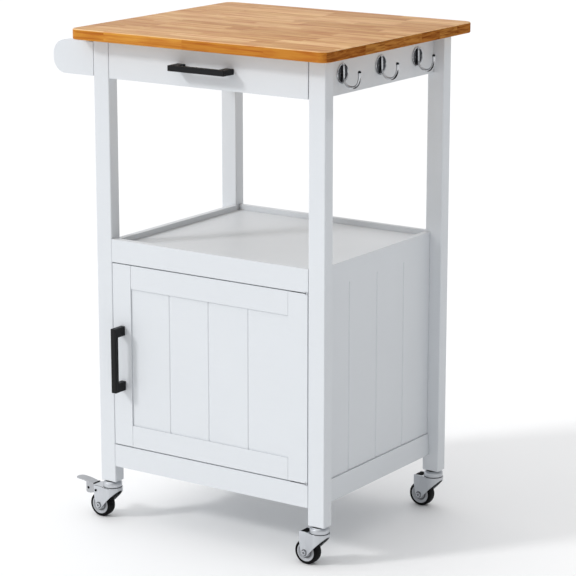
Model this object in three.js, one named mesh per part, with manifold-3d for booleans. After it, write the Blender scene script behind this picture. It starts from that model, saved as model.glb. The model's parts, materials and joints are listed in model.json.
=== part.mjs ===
// Kitchen island cart on casters: a wooden worktop on four painted legs, with a drawer, an open shelf,
// a cabinet with a framed door, a towel rack on the left and coat hooks on the right.
// Millimetres, +Z up, front towards -Y. Lengths are worked out from the driving dimensions below.
import * as THREE from "three";
import { mergeVertices } from "three/addons/utils/BufferGeometryUtils.js";
import Module from "manifold-3d";

const wasm = await Module();
wasm.setup();

// ---- driving dimensions ----------------------------------------------------------------------------
const HEIGHT = 914;
const SEAM = 0.3; // gap between neighbouring pieces
const TOP = { width: 544, depth: 486, thickness: 19, corner: 18, arris: 2.5 };
const FRAME = { width: 494, depth: 412 }; // over the outer faces of the legs
const LEG = { width: 34, depth: 25, bottom: 74, corner: 2, arris: 1 };
const APRON = { bottom: 825, thickness: 13, inset: 21.4, backThickness: 15, backInset: 5 };
const MID_RAIL = { top: 534, bottom: 492, thickness: 13 };
const PANEL = { top: 531, thickness: 12, inset: 24.4, grooveTop: 491, back: 9, backInset: 7 };
const BASE_RAIL = { top: 148, bottom: 106, thickness: 18, sideTop: 146, sideBottom: 104.5 };
const SHELF = { top: 521, thickness: 12 };
const FLOOR = { top: 142, thickness: 12 };
const DOOR = { thickness: 18, side: 1.2, gap: 2, stile: 40.3, topRail: 43, bottomRail: 40.5 };
const DOOR_PANEL = { recess: 2.6, thickness: 8, tongue: 5 };
const GROOVE = { width: 4, depth: 2, count: 3 };
const DRAWER = { side: 10, boxDepth: 328, boxTop: 880, bottomRise: 4, bottomBoard: 5, play: 0.9, lift: 0.8 };
const DRAWER_FRONT = { rise: 0.5, gap: 1.8 };
const CATCH = { x: -165, width: 44, bottom: 474, block: 14, depth: 14, plate: 2.5, neck: 20, gap: 0.6 };
const RUNNER = { bottom: 829, shelf: 8, flange: 3, height: 21, width: 16, length: 366 };
const PULL = { length: 120, section: 10, foot: 17, reach: 30, corner: 1.2, arris: 0.6 };
const DOOR_PULL = { x: -190, z: 316 };
const DRAWER_PULL_Z = 860;
const LEAF = { thickness: 1.5, length: 34, width: 8, inset: 2.3, eye: 3.1, boss: 2.5, pin: 1.5, play: 0.3 };
const RACK = { reach: 91, height: 60.5, top: 887.5, thickness: 18, corner: 27 };
const ROD = { r: 9, inset: 30, socket: 8, clearance: 0.2 };
const HOOK = { spacing: 122, z: 861, plate: 17.5, thickness: 4, wire: 2.6, knob: 3.8 };
const HOOK_WIRE = { x: 4.2, top: 14, bend: -8, lowX: 19, low: -23, tipX: 34.5, tip: 3 };
const STEM = { r: 5.3, bore: 5.6, top: 110 };
const HEAD = { r: 17.6, bottom: 61.8, top: 69.8, collar: 9 };
const RIVET = { r: 7, neck: 4, hole: 4.4, under: 55.5, rim: 57.9 };
const FORK = { half: 13, bend: -21, sheet: 1.8, top: 61, crown: 18.5, boss: 7.4 };
const CHEEK = { back: -35, backBottom: 42, lip: 57.2 };
const AXLE = { r: 3, nut: 4.6, head: 2.6, nutHeight: 3 };
const WHEEL = { r: 23, trail: 24, width: 19 };
const HUB = { rim: 17.4, half: 9, bore: 3.4, boss: 7, bossHalf: 10.4, webHalf: 7, webR: 13.6 };
const PEDAL = { x: -30.5, z: 50.5, width: 20.4, sheet: 1.6, pin: 2, pinEnd: 0.8, boss: 4.1 };
const PEDAL_CHEEK = { back: -55, bottom: 42, corner: 4, flat: 9, topX: -47 };
const PEDAL_HOLE = { r: 1.8, x: -49.9, z: 51.7 };
const TREAD = { rootX: -36.4, root: 60.4, tipX: -82, tip: 66.6, corner: 9 };

// ---- places worked out from them -------------------------------------------------------------------
const halfW = FRAME.width / 2;
const halfD = FRAME.depth / 2;
const innerX = halfW - LEG.width; // inner faces of the legs
const innerY = halfD - LEG.depth;
const underTop = HEIGHT - TOP.thickness;
const doorHalf = innerX - DOOR.side;
const doorBottom = BASE_RAIL.top + DOOR.gap;
const doorTop = MID_RAIL.bottom - DOOR.gap;
const panelOuter = halfW - PANEL.inset;
const panelInner = panelOuter - PANEL.thickness;
const apronOuter = halfW - APRON.inset;
const apronInner = apronOuter - APRON.thickness;
const doorBack = -halfD + DOOR.thickness;
// The row's origin is under the middle of the whole object, and the towel rack reaches out on one side.
const ORIGIN_X = (halfW + RACK.reach - TOP.width / 2) / 2;

// ---- materials -------------------------------------------------------------------------------------
const paint = (color, roughness) => new THREE.MeshStandardMaterial({ color, roughness, metalness: 0 });
const metal = (color, roughness) => new THREE.MeshStandardMaterial({ color, roughness, metalness: 1 });
const WOOD = paint("#cf9f66", 0.5);
const WHITE = paint("#e2e5e8", 0.45);
const RAW = paint("#d9c3a0", 0.6);
const BLACK = paint("#1d1f22", 0.55);
const CHROME = metal("#d4d6da", 0.15);
const ZINC = metal("#c3c6cb", 0.3);
const RUBBER = paint("#161718", 0.8);
const HUB_GREY = paint("#c6c8cc", 0.4);

const cart = new THREE.Group();
cart.position.x = ORIGIN_X;

// ---- helpers ---------------------------------------------------------------------------------------
function add(name, geometry, material, parent = cart) {
  const mesh = new THREE.Mesh(geometry, material);
  mesh.name = name;
  parent.add(mesh);
  return mesh;
}

// A box between two corners.
function boxBetween([x0, x1], [y0, y1], [z0, z1]) {
  const box = new THREE.BoxGeometry(x1 - x0, y1 - y0, z1 - z0);
  return box.translate((x0 + x1) / 2, (y0 + y1) / 2, (z0 + z1) / 2);
}

function board(name, x, y, z, material = WHITE) {
  return add(name, boxBetween(x, y, z), material);
}

// A geometry as a manifold solid, and back.
function solid(geometry) {
  const bare = geometry.clone().deleteAttribute("normal").deleteAttribute("uv");
  const merged = mergeVertices(bare, 1e-4);
  const vertProperties = new Float32Array(merged.attributes.position.array);
  const triVerts = new Uint32Array(merged.index.array);
  return new wasm.Manifold(new wasm.Mesh({ numProp: 3, vertProperties, triVerts }));
}

function geometryOf(manifold) {
  const { vertProperties, triVerts } = manifold.getMesh();
  const geometry = new THREE.BufferGeometry();
  geometry.setAttribute("position", new THREE.BufferAttribute(new Float32Array(vertProperties), 3));
  geometry.setIndex(new THREE.BufferAttribute(new Uint32Array(triVerts), 1));
  geometry.computeVertexNormals();
  return geometry;
}

const cut = (base, ...tools) => tools.reduce((left, tool) => left.subtract(solid(tool)), solid(base));
const join = (...pieces) => pieces.map(solid).reduce((sum, piece) => sum.add(piece));

// A rectangle about the origin with rounded corners.
function roundedRectangle(width, depth, r) {
  const [x, y] = [width / 2, depth / 2];
  const shape = new THREE.Shape();
  shape.moveTo(x, y - r);
  shape.absarc(x - r, y - r, r, 0, Math.PI / 2);
  shape.absarc(r - x, y - r, r, Math.PI / 2, Math.PI);
  shape.absarc(r - x, r - y, r, Math.PI, 1.5 * Math.PI);
  shape.absarc(x - r, r - y, r, 1.5 * Math.PI, 2 * Math.PI);
  return shape;
}

// A slab of rounded outline standing on the plane z = 0, its long edges eased by bevel.
function slab(shape, height, bevel, curveSegments, bevelSegments = 1) {
  const geometry = new THREE.ExtrudeGeometry(shape, {
    depth: height - 2 * bevel,
    bevelThickness: bevel,
    bevelSize: bevel,
    bevelOffset: -bevel,
    bevelSegments,
    curveSegments,
  });
  return geometry.translate(0, 0, bevel);
}

// A shape drawn in X and Z, extruded along Y from y0 to y1.
function extrudeAlongY(shape, y0, y1, curveSegments = 6) {
  const geometry = new THREE.ExtrudeGeometry(shape, { depth: y1 - y0, bevelEnabled: false, curveSegments });
  return geometry.rotateX(Math.PI / 2).translate(0, y1, 0);
}

// A cylinder lying along Y.
function rodAlongY(r, y0, y1, x, z, sides) {
  return new THREE.CylinderGeometry(r, r, y1 - y0, sides).translate(x, (y0 + y1) / 2, z);
}

// A standing cylinder.
function post(r, z0, z1, x, y, sides) {
  return new THREE.CylinderGeometry(r, r, z1 - z0, sides).rotateX(Math.PI / 2).translate(x, y, (z0 + z1) / 2);
}

// V-shaped grooves that divide a span into equal planks. The face looks along -Y, and the grooves stand up.
function grooveTools(from, to, faceY, z0, z1) {
  const pitch = (to - from) / (GROOVE.count + 1);
  const tools = [];
  for (let i = 1; i <= GROOVE.count; i++) {
    const x = from + i * pitch;
    const vee = new THREE.Shape();
    vee.moveTo(x - GROOVE.width / 2 - 1, faceY - 1);
    vee.lineTo(x + GROOVE.width / 2 + 1, faceY - 1);
    vee.lineTo(x, faceY + GROOVE.depth);
    tools.push(new THREE.ExtrudeGeometry(vee, { depth: z1 - z0, bevelEnabled: false }).translate(0, 0, z0));
  }
  return tools;
}

// ---- worktop, legs and aprons ----------------------------------------------------------------------
const topShape = roundedRectangle(TOP.width, TOP.depth, TOP.corner);
add("worktop", slab(topShape, TOP.thickness, TOP.arris, 5, 2).translate(0, 0, underTop), WOOD);

const LEGS = [
  ["front_left", -1, -1],
  ["front_right", 1, -1],
  ["back_left", -1, 1],
  ["back_right", 1, 1],
];
const legX = halfW - LEG.width / 2;
const legY = halfD - LEG.depth / 2;

function leg(sideX, sideY) {
  const length = underTop - SEAM - LEG.bottom;
  const bar = slab(roundedRectangle(LEG.width, LEG.depth, LEG.corner), length, LEG.arris, 2);
  const [x, y] = [sideX * legX, sideY * legY];
  const socket = post(STEM.bore, LEG.bottom - 5, STEM.top + 1, x, y, 16);
  return geometryOf(cut(bar.translate(x, y, LEG.bottom), socket));
}

for (const [name, sideX, sideY] of LEGS) add(`leg_${name}`, leg(sideX, sideY), WHITE);

const apronZ = [APRON.bottom, underTop - SEAM];
const betweenLegsX = [-innerX + SEAM, innerX - SEAM];
const betweenLegsY = [-innerY + SEAM, innerY - SEAM];
board("apron_left", [-apronOuter, -apronInner], betweenLegsY, apronZ);
board("apron_right", [apronInner, apronOuter], betweenLegsY, apronZ);
const backApronOuter = halfD - APRON.backInset;
board("apron_back", betweenLegsX, [backApronOuter - APRON.backThickness, backApronOuter], apronZ);

// ---- open shelf and cabinet ------------------------------------------------------------------------
const hingeX = doorHalf - LEAF.inset;
const hingeY = -halfD + LEAF.inset;

// One leaf of a pivot hinge, from z0 to z1: a plate let into the wood, with an eye at the pivot.
function leaf(z0, z1, grow = 0) {
  const plate = boxBetween(
    [hingeX - LEAF.length - grow, hingeX],
    [hingeY - 1 - grow, hingeY - 1 + LEAF.width + grow],
    [z0, z1],
  );
  return join(plate, post(LEAF.eye + grow, z0, z1, hingeX, hingeY, 16));
}

const leafDepth = LEAF.thickness + LEAF.play;
const midRail = solid(
  boxBetween(betweenLegsX, [-halfD, -halfD + MID_RAIL.thickness], [MID_RAIL.bottom, MID_RAIL.top]),
);
const midRecess = leaf(MID_RAIL.bottom - 1, MID_RAIL.bottom + leafDepth, LEAF.play);
add("rail_front_middle", geometryOf(midRail.subtract(midRecess)), WHITE);

const baseRail = solid(
  boxBetween(betweenLegsX, [-halfD, -halfD + BASE_RAIL.thickness], [BASE_RAIL.bottom, BASE_RAIL.top]),
);
const baseRecess = leaf(BASE_RAIL.top - leafDepth, BASE_RAIL.top + 1, LEAF.play);
add("rail_front_bottom", geometryOf(baseRail.subtract(baseRecess)), WHITE);

// A side panel with its grooved face outwards. It is drawn facing -Y and turned to its side.
function sidePanel(sideX) {
  const y0 = -innerY + SEAM;
  const slabBox = boxBetween([y0, -y0], [0, PANEL.thickness], [BASE_RAIL.sideTop + SEAM, PANEL.top]);
  const grooved = cut(slabBox, ...grooveTools(y0, -y0, 0, BASE_RAIL.sideTop - 5, PANEL.grooveTop));
  const turned = geometryOf(grooved).rotateZ((sideX * Math.PI) / 2);
  return turned.translate(sideX * panelOuter, 0, 0);
}

add("side_panel_left", sidePanel(-1), WHITE);
add("side_panel_right", sidePanel(1), WHITE);

const baseRailOuter = panelOuter + 3;
const sideBaseZ = [BASE_RAIL.sideBottom, BASE_RAIL.sideTop];
board("rail_bottom_left", [-baseRailOuter, -panelInner], betweenLegsY, sideBaseZ);
board("rail_bottom_right", [panelInner, baseRailOuter], betweenLegsY, sideBaseZ);

// The back board is grooved on its outer face, and it reaches down to the base's lower edge.
function backPanel() {
  const slabBox = boxBetween(betweenLegsX, [0, PANEL.back], [BASE_RAIL.bottom, PANEL.top]);
  const tools = grooveTools(betweenLegsX[0], betweenLegsX[1], 0, BASE_RAIL.top, PANEL.grooveTop);
  return geometryOf(cut(slabBox, ...tools)).rotateZ(Math.PI).translate(0, halfD - PANEL.backInset, 0);
}

add("back_panel", backPanel(), WHITE);

const backInner = halfD - PANEL.backInset - PANEL.back;
const insideX = [-panelInner + SEAM, panelInner - SEAM];
const shelfZ = [SHELF.top - SHELF.thickness, SHELF.top];
board("shelf_board", insideX, [-halfD + MID_RAIL.thickness + SEAM, backInner - SEAM], shelfZ);
const floorZ = [FLOOR.top - FLOOR.thickness, FLOOR.top];
board("cabinet_floor", insideX, [doorBack + SEAM, backInner - SEAM], floorZ);

// ---- door ------------------------------------------------------------------------------------------
const doorY = [-halfD, doorBack];
const stileInner = doorHalf - DOOR.stile;
const panelFace = -halfD + DOOR_PANEL.recess;
const openingZ = [doorBottom + DOOR.bottomRail, doorTop - DOOR.topRail];
const tongue = DOOR_PANEL.tongue;

// The slot round the frame that holds the panel's edges.
const panelSlot = () =>
  boxBetween(
    [-stileInner - tongue - SEAM, stileInner + tongue + SEAM],
    [panelFace - SEAM, panelFace + DOOR_PANEL.thickness + SEAM],
    [openingZ[0] - tongue - SEAM, openingZ[1] + tongue + SEAM],
  );

function stile(sideX) {
  const x = sideX < 0 ? [-doorHalf, -stileInner] : [stileInner, doorHalf];
  return cut(boxBetween(x, doorY, [doorBottom, doorTop]), panelSlot());
}

const hingeStile = stile(1)
  .subtract(leaf(doorTop - leafDepth, doorTop + 1, LEAF.play))
  .subtract(leaf(doorBottom - 1, doorBottom + leafDepth, LEAF.play));
add("door_stile_left", geometryOf(stile(-1)), WHITE);
add("door_stile_right", geometryOf(hingeStile), WHITE);

const railX = [-stileInner + SEAM, stileInner - SEAM];
const doorRail = (z) => geometryOf(cut(boxBetween(railX, doorY, z), panelSlot()));
add("door_rail_top", doorRail([openingZ[1], doorTop]), WHITE);
add("door_rail_bottom", doorRail([doorBottom, openingZ[0]]), WHITE);

const doorPanel = boxBetween(
  [-stileInner - tongue, stileInner + tongue],
  [panelFace, panelFace + DOOR_PANEL.thickness],
  [openingZ[0] - tongue, openingZ[1] + tongue],
);
const doorGrooves = grooveTools(-stileInner, stileInner, panelFace, openingZ[0] - 10, openingZ[1] + 10);
add("door_panel", geometryOf(cut(doorPanel, ...doorGrooves)), WHITE);

// Pivot hinges in the gaps above and below the door: a fixed leaf with a pin, and a leaf on the door.
function fixedLeaf(z0, towardsDoor) {
  const z1 = z0 + LEAF.thickness;
  const face = towardsDoor < 0 ? z0 : z1;
  const boss = [face, face + towardsDoor * (DOOR.gap - LEAF.play)].sort((a, b) => a - b);
  const pin = [face, face + towardsDoor * (DOOR.gap + LEAF.thickness)].sort((a, b) => a - b);
  return leaf(z0, z1)
    .add(solid(post(LEAF.boss, ...boss, hingeX, hingeY, 16)))
    .add(solid(post(LEAF.pin, ...pin, hingeX, hingeY, 12)));
}

function doorLeaf(z0) {
  const z1 = z0 + LEAF.thickness;
  const hole = post(LEAF.pin + LEAF.play, z0 - 1, z1 + 1, hingeX, hingeY, 12);
  return leaf(z0, z1).subtract(solid(hole));
}

add("hinge_top_fixed", geometryOf(fixedLeaf(MID_RAIL.bottom, -1)), ZINC);
add("hinge_bottom_fixed", geometryOf(fixedLeaf(BASE_RAIL.top - LEAF.thickness, 1)), ZINC);
add("hinge_top_leaf", geometryOf(doorLeaf(doorTop - LEAF.thickness)), ZINC);
add("hinge_bottom_leaf", geometryOf(doorLeaf(doorBottom)), ZINC);

// A magnetic catch under the shelf, behind the free side of the door.
const shelfUnder = SHELF.top - SHELF.thickness - SEAM;
const catchY = [doorBack + CATCH.gap, doorBack + CATCH.gap + CATCH.depth];
const catchSpan = (width) => [CATCH.x - width / 2, CATCH.x + width / 2];
const catchSolid = join(
  boxBetween(catchSpan(CATCH.width), catchY, [CATCH.bottom, CATCH.bottom + CATCH.block]),
  boxBetween(catchSpan(CATCH.neck), catchY, [CATCH.bottom, shelfUnder]),
  boxBetween(catchSpan(CATCH.width), catchY, [shelfUnder - CATCH.plate, shelfUnder]),
);
add("door_catch", geometryOf(catchSolid), BLACK);

// ---- bar pulls -------------------------------------------------------------------------------------
// A bar pull lying along X, centred on its fixing face at the origin and reaching to -Y.
function barPull() {
  const half = PULL.length / 2;
  const round = PULL.corner;
  const outline = new THREE.Shape();
  outline.moveTo(-half, 0);
  outline.lineTo(-half, round - PULL.reach);
  outline.absarc(round - half, round - PULL.reach, round, Math.PI, 1.5 * Math.PI);
  outline.absarc(half - round, round - PULL.reach, round, 1.5 * Math.PI, 2 * Math.PI);
  outline.lineTo(half, 0);
  outline.lineTo(half - PULL.foot, 0);
  outline.lineTo(half - PULL.foot, PULL.section - PULL.reach);
  outline.lineTo(PULL.foot - half, PULL.section - PULL.reach);
  outline.lineTo(PULL.foot - half, 0);
  return slab(outline, PULL.section, PULL.arris, 3).translate(0, 0, -PULL.section / 2);
}

add("door_pull", barPull().rotateY(Math.PI / 2), BLACK).position.set(DOOR_PULL.x, -halfD - SEAM, DOOR_PULL.z);
add("drawer_pull", barPull(), BLACK).position.set(0, -halfD - SEAM, DRAWER_PULL_Z);

// ---- drawer ----------------------------------------------------------------------------------------
const boxOuter = apronInner - SEAM - RUNNER.flange - DRAWER.play;
const boxInner = boxOuter - DRAWER.side;
const boxZ = [RUNNER.bottom + RUNNER.shelf + DRAWER.lift, DRAWER.boxTop];
const boxFront = doorBack + SEAM;
const boxBack = boxFront + DRAWER.boxDepth;
const bottomZ = boxZ[0] + DRAWER.bottomRise;
const frontZ = [APRON.bottom + DRAWER_FRONT.rise, underTop - DRAWER_FRONT.gap];
board("drawer_front", [-doorHalf, doorHalf], [-halfD, doorBack], frontZ);
board("drawer_side_left", [-boxOuter, -boxInner], [boxFront, boxBack], boxZ, RAW);
board("drawer_side_right", [boxInner, boxOuter], [boxFront, boxBack], boxZ, RAW);
const boxInside = [-boxInner + SEAM, boxInner - SEAM];
board("drawer_back", boxInside, [boxBack - DRAWER.side, boxBack], boxZ, RAW);
board(
  "drawer_bottom",
  boxInside,
  [boxFront, boxBack - DRAWER.side - SEAM],
  [bottomZ, bottomZ + DRAWER.bottomBoard],
  RAW,
);

// An L-shaped runner on the inside of a side apron.
function runner(sideX) {
  const outer = apronInner - SEAM;
  const inner = outer - RUNNER.width;
  const lip = outer - RUNNER.flange;
  const profile = new THREE.Shape();
  profile.moveTo(sideX * inner, RUNNER.bottom);
  profile.lineTo(sideX * outer, RUNNER.bottom);
  profile.lineTo(sideX * outer, RUNNER.bottom + RUNNER.height);
  profile.lineTo(sideX * lip, RUNNER.bottom + RUNNER.height);
  profile.lineTo(sideX * lip, RUNNER.bottom + RUNNER.shelf);
  profile.lineTo(sideX * inner, RUNNER.bottom + RUNNER.shelf);
  return extrudeAlongY(profile, boxFront, boxFront + RUNNER.length);
}

add("drawer_runner_left", runner(-1), RAW);
add("drawer_runner_right", runner(1), RAW);

// ---- towel rack ------------------------------------------------------------------------------------
const rackEnd = -halfW - RACK.reach;
const rodX = rackEnd + ROD.inset;
const rodZ = RACK.top - RACK.height / 2;

// A bracket board standing out from a leg, its free end rounded, with a blind hole for the rod.
function bracket(y0, y1, holeY) {
  const root = -halfW - SEAM;
  const outline = new THREE.Shape();
  outline.moveTo(root, RACK.top);
  outline.lineTo(rackEnd + RACK.corner, RACK.top);
  outline.absarc(rackEnd + RACK.corner, RACK.top - RACK.corner, RACK.corner, Math.PI / 2, Math.PI);
  const low = RACK.top - RACK.height;
  outline.absarc(rackEnd + RACK.corner, low + RACK.corner, RACK.corner, Math.PI, 1.5 * Math.PI);
  outline.lineTo(root, low);
  const hole = rodAlongY(ROD.r + ROD.clearance, ...holeY, rodX, rodZ, 24);
  return geometryOf(cut(extrudeAlongY(outline, y0, y1, 8), hole));
}

const rackInner = halfD - RACK.thickness;
const rodEnd = rackInner + ROD.socket;
add("rack_bracket_front", bracket(-halfD, -rackInner, [-rodEnd - SEAM, -rackInner + 1]), WHITE);
add("rack_bracket_back", bracket(rackInner, halfD, [rackInner - 1, rodEnd + SEAM]), WHITE);
add("towel_rod", rodAlongY(ROD.r, -rodEnd, rodEnd, rodX, rodZ, 24), WHITE);

// ---- hooks -----------------------------------------------------------------------------------------
// The middle line of the hook's wire, out from the plate (x) and up (z): straight down the plate, then
// two curves, to the low point and up to the tip.
class HookPath extends THREE.CurvePath {
  constructor() {
    super();
    const at = (x, z) => new THREE.Vector3(x, 0, z);
    const { x, top, bend, lowX, low, tipX, tip } = HOOK_WIRE;
    const [start, lowest, end] = [at(x, bend), at(lowX, low), at(tipX, tip)];
    this.add(new THREE.LineCurve3(at(x, top), start));
    this.add(new THREE.CubicBezierCurve3(start, at(x + 1, bend - 9), at(lowX - 8, low), lowest));
    this.add(new THREE.CubicBezierCurve3(lowest, at(lowX + 11, low), at(tipX + 1, tip - 16), end));
  }
}

function hook() {
  const wire = new THREE.Shape().absarc(0, 0, HOOK.wire, 0, 2 * Math.PI);
  const rod = new THREE.ExtrudeGeometry(wire, {
    steps: 18,
    curveSegments: 4,
    bevelEnabled: false,
    extrudePath: new HookPath(),
  });
  const dome = [
    [0, 0],
    [HOOK.plate, 0],
    [HOOK.plate, HOOK.thickness * 0.35],
    [HOOK.plate * 0.8, HOOK.thickness * 0.8],
    [0, HOOK.thickness],
  ].map(([r, h]) => new THREE.Vector2(r, h));
  const plate = new THREE.LatheGeometry(dome, 20).rotateZ(-Math.PI / 2);
  const knob = new THREE.SphereGeometry(HOOK.knob, 8, 6).translate(HOOK_WIRE.tipX, 0, HOOK_WIRE.tip + 2);
  return geometryOf(join(plate, rod, knob));
}

const hookPlaces = [
  ["front", -HOOK.spacing],
  ["middle", 0],
  ["back", HOOK.spacing],
];
for (const [name, y] of hookPlaces) {
  add(`hook_${name}`, hook(), CHROME).position.set(apronOuter + SEAM, y, HOOK.z);
}

// ---- casters ---------------------------------------------------------------------------------------
// A caster's own frame: the swivel axis is the Z axis, the floor is z = 0, and the wheel trails to -X.

// The swivel head with its stem above and the rivet that carries the fork below.
function casterStem() {
  const collarTop = LEG.bottom - SEAM;
  const profile = [
    [0, RIVET.under],
    [RIVET.r - 0.5, RIVET.under],
    [RIVET.r, RIVET.rim],
    [RIVET.neck, FORK.top - FORK.sheet - 0.6],
    [RIVET.neck, HEAD.bottom],
    [HEAD.r - 0.6, HEAD.bottom],
    [HEAD.r, HEAD.bottom + 0.8],
    [HEAD.r, HEAD.top - 1.2],
    [HEAD.r - 1.2, HEAD.top],
    [HEAD.collar, HEAD.top],
    [HEAD.collar, collarTop],
    [STEM.r, collarTop],
    [STEM.r, STEM.top - 2],
    [STEM.r - 1, STEM.top],
    [0, STEM.top],
  ].map(([r, z]) => new THREE.Vector2(r, z));
  return new THREE.LatheGeometry(profile, 16).rotateX(Math.PI / 2);
}

// The side view of the fork: the crown at the swivel axis, a cheek down to a round boss at the axle.
function forkSide() {
  const slope = Math.PI / 4;
  const shape = new THREE.Shape();
  shape.moveTo(CHEEK.back, FORK.top);
  shape.lineTo(CHEEK.back, CHEEK.backBottom);
  shape.absarc(-WHEEL.trail, WHEEL.r, FORK.boss, Math.PI, 2 * Math.PI - slope);
  shape.lineTo(FORK.crown + 1, CHEEK.lip);
  shape.lineTo(FORK.crown + 1, FORK.top);
  return shape;
}

// The plan of the fork, extruded: a round crown, its tangents in to the bend, and parallel cheeks behind
// that. Offset grows or shrinks it.
function forkPlan(offset, depth) {
  const tail = -60;
  const r = FORK.crown + offset;
  const half = FORK.half + offset;
  const turn = Math.atan2(half, -FORK.bend) + Math.acos(r / Math.hypot(FORK.bend, half));
  const shape = new THREE.Shape();
  shape.moveTo(tail, -half);
  shape.lineTo(FORK.bend, -half);
  shape.absarc(0, 0, r, Math.PI + turn, 3 * Math.PI - turn);
  shape.lineTo(FORK.bend, half);
  shape.lineTo(tail, half);
  return new THREE.ExtrudeGeometry(shape, { depth, bevelEnabled: false, curveSegments: 9 });
}

// A round or six-sided bar across the fork, at the axle or the pedal's pivot.
const axleBar = (r, y0, y1, sides) => rodAlongY(r, y0, y1, -WHEEL.trail, WHEEL.r, sides);
const pedalBar = (r, half) => rodAlongY(r, -half, half, PEDAL.x, PEDAL.z, 12);

function fork(braked) {
  const under = FORK.top - FORK.sheet;
  let body = solid(extrudeAlongY(forkSide(), -2 * FORK.half, 2 * FORK.half, 5))
    .intersect(solid(forkPlan(0, FORK.top + 1)))
    .subtract(solid(forkPlan(-FORK.sheet, under)))
    .subtract(solid(post(RIVET.hole, under - 1, FORK.top + 1, 0, 0, 16)));
  if (braked) {
    body = body.subtract(solid(pedalBar(PEDAL.pin + 0.4, 2 * FORK.half)));
  } else {
    const inner = FORK.half - FORK.sheet;
    const opening = boxBetween([2 * CHEEK.back, -FORK.crown], [-inner, inner], [under - 1, FORK.top + 1]);
    body = body.subtract(solid(opening));
  }
  const bars = [
    axleBar(AXLE.r, -FORK.half - 1, FORK.half + 1, 12),
    axleBar(AXLE.nut, -FORK.half - AXLE.head, -FORK.half + 0.2, 6),
    axleBar(AXLE.nut, FORK.half - 0.2, FORK.half + AXLE.nutHeight, 6),
  ];
  return geometryOf(bars.reduce((sum, bar) => sum.add(solid(bar)), body));
}

// A closed ring about the wheel's axle from a profile of [radius, half width] points, mirrored in its middle.
function wheelRing(half, segments) {
  const mirrored = half.map(([r, w]) => [r, -w]);
  const points = [...mirrored, ...[...half].reverse()];
  const loop = [...points, points[0]].map(([r, w]) => new THREE.Vector2(r, w));
  const ring = new THREE.LatheGeometry(loop, segments);
  return ring.translate(-WHEEL.trail, 0, WHEEL.r);
}

const hubProfile = [
  [HUB.bore, HUB.bossHalf],
  [HUB.boss, HUB.bossHalf],
  [HUB.boss + 0.6, HUB.webHalf],
  [HUB.webR, HUB.webHalf],
  [HUB.webR + 1, HUB.half],
  [HUB.rim, HUB.half],
];
const tyreProfile = [
  [HUB.rim + SEAM, WHEEL.width / 2 - 0.3],
  [WHEEL.r - 3, WHEEL.width / 2],
  [WHEEL.r - 0.9, WHEEL.width / 2 - 1.2],
  [WHEEL.r, WHEEL.width / 2 - 3.6],
];

// The pedal's tread: a long strip of sheet that rises to its rounded tip. Its top follows a curve that
// leaves the root almost level, and its underside follows the same curve lower down.
function pedalTread() {
  const { rootX, root, tipX, tip } = TREAD;
  const [nearRoot, nearTip] = [rootX - 9.5, rootX - 17.5];
  const under = PEDAL.sheet + 0.2;
  const side = new THREE.Shape();
  side.moveTo(rootX, root);
  side.bezierCurveTo(nearRoot, root + 0.8, nearTip, tip - 0.2, tipX, tip);
  side.lineTo(tipX, tip - PEDAL.sheet);
  side.bezierCurveTo(nearTip, tip - 0.2 - under, nearRoot, root + 0.8 - under, rootX, root - under);
  const length = 2 * (rootX - tipX) - TREAD.corner * 2;
  const blank = new THREE.ExtrudeGeometry(roundedRectangle(length, PEDAL.width, TREAD.corner), {
    depth: tip + 1,
    bevelEnabled: false,
    curveSegments: 4,
  });
  const strip = solid(extrudeAlongY(side, -PEDAL.width, PEDAL.width, 6));
  return strip.intersect(solid(blank.translate(tipX + length / 2, 0, 0)));
}

// One of the pedal's two cheeks, which hang between the fork's cheeks, with a hole at its back.
function pedalCheek(y0, y1) {
  const { back, bottom, corner, flat, topX } = PEDAL_CHEEK;
  const cheek = new THREE.Shape();
  cheek.moveTo(back, TREAD.root + 2.6);
  cheek.lineTo(back, bottom + corner);
  cheek.quadraticCurveTo(back, bottom, back + corner, bottom);
  cheek.lineTo(back + flat, bottom);
  cheek.lineTo(PEDAL.x, PEDAL.z - PEDAL.boss);
  cheek.absarc(PEDAL.x, PEDAL.z, PEDAL.boss, -Math.PI / 2, Math.PI / 2);
  cheek.lineTo(TREAD.rootX, TREAD.root - 0.4);
  cheek.lineTo(topX, TREAD.root + 0.9);
  const hole = rodAlongY(PEDAL_HOLE.r, y0 - 1, y1 + 1, PEDAL_HOLE.x, PEDAL_HOLE.z, 8);
  return cut(extrudeAlongY(cheek, y0, y1, 4), hole);
}

// The brake pedal: its tread, its cheeks and the pin that it turns on.
function brakePedal() {
  const edge = PEDAL.width / 2;
  const pin = solid(pedalBar(PEDAL.pin, FORK.half + PEDAL.pinEnd));
  const near = pedalCheek(-edge, -edge + PEDAL.sheet);
  const far = pedalCheek(edge - PEDAL.sheet, edge);
  return geometryOf(pedalTread().add(near).add(far).add(pin));
}

for (const [name, sideX, sideY] of LEGS) {
  const caster = new THREE.Group();
  caster.position.set(sideX * legX, sideY * legY, 0);
  cart.add(caster);
  const braked = sideX < 0;
  add(`caster_stem_${name}`, casterStem(), ZINC, caster);
  add(`caster_fork_${name}`, fork(braked), ZINC, caster);
  add(`caster_hub_${name}`, wheelRing(hubProfile, 18), HUB_GREY, caster);
  add(`caster_tyre_${name}`, wheelRing(tyreProfile, 26), RUBBER, caster);
  if (braked) add(`caster_brake_${name}`, brakePedal(), ZINC, caster);
}

export default cart;
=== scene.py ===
"""Looks of the kitchen island cart: materials, fine pieces, floor, light and camera."""

import json
import math

import bmesh
import bpy
from mathutils import Matrix, Vector


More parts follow.
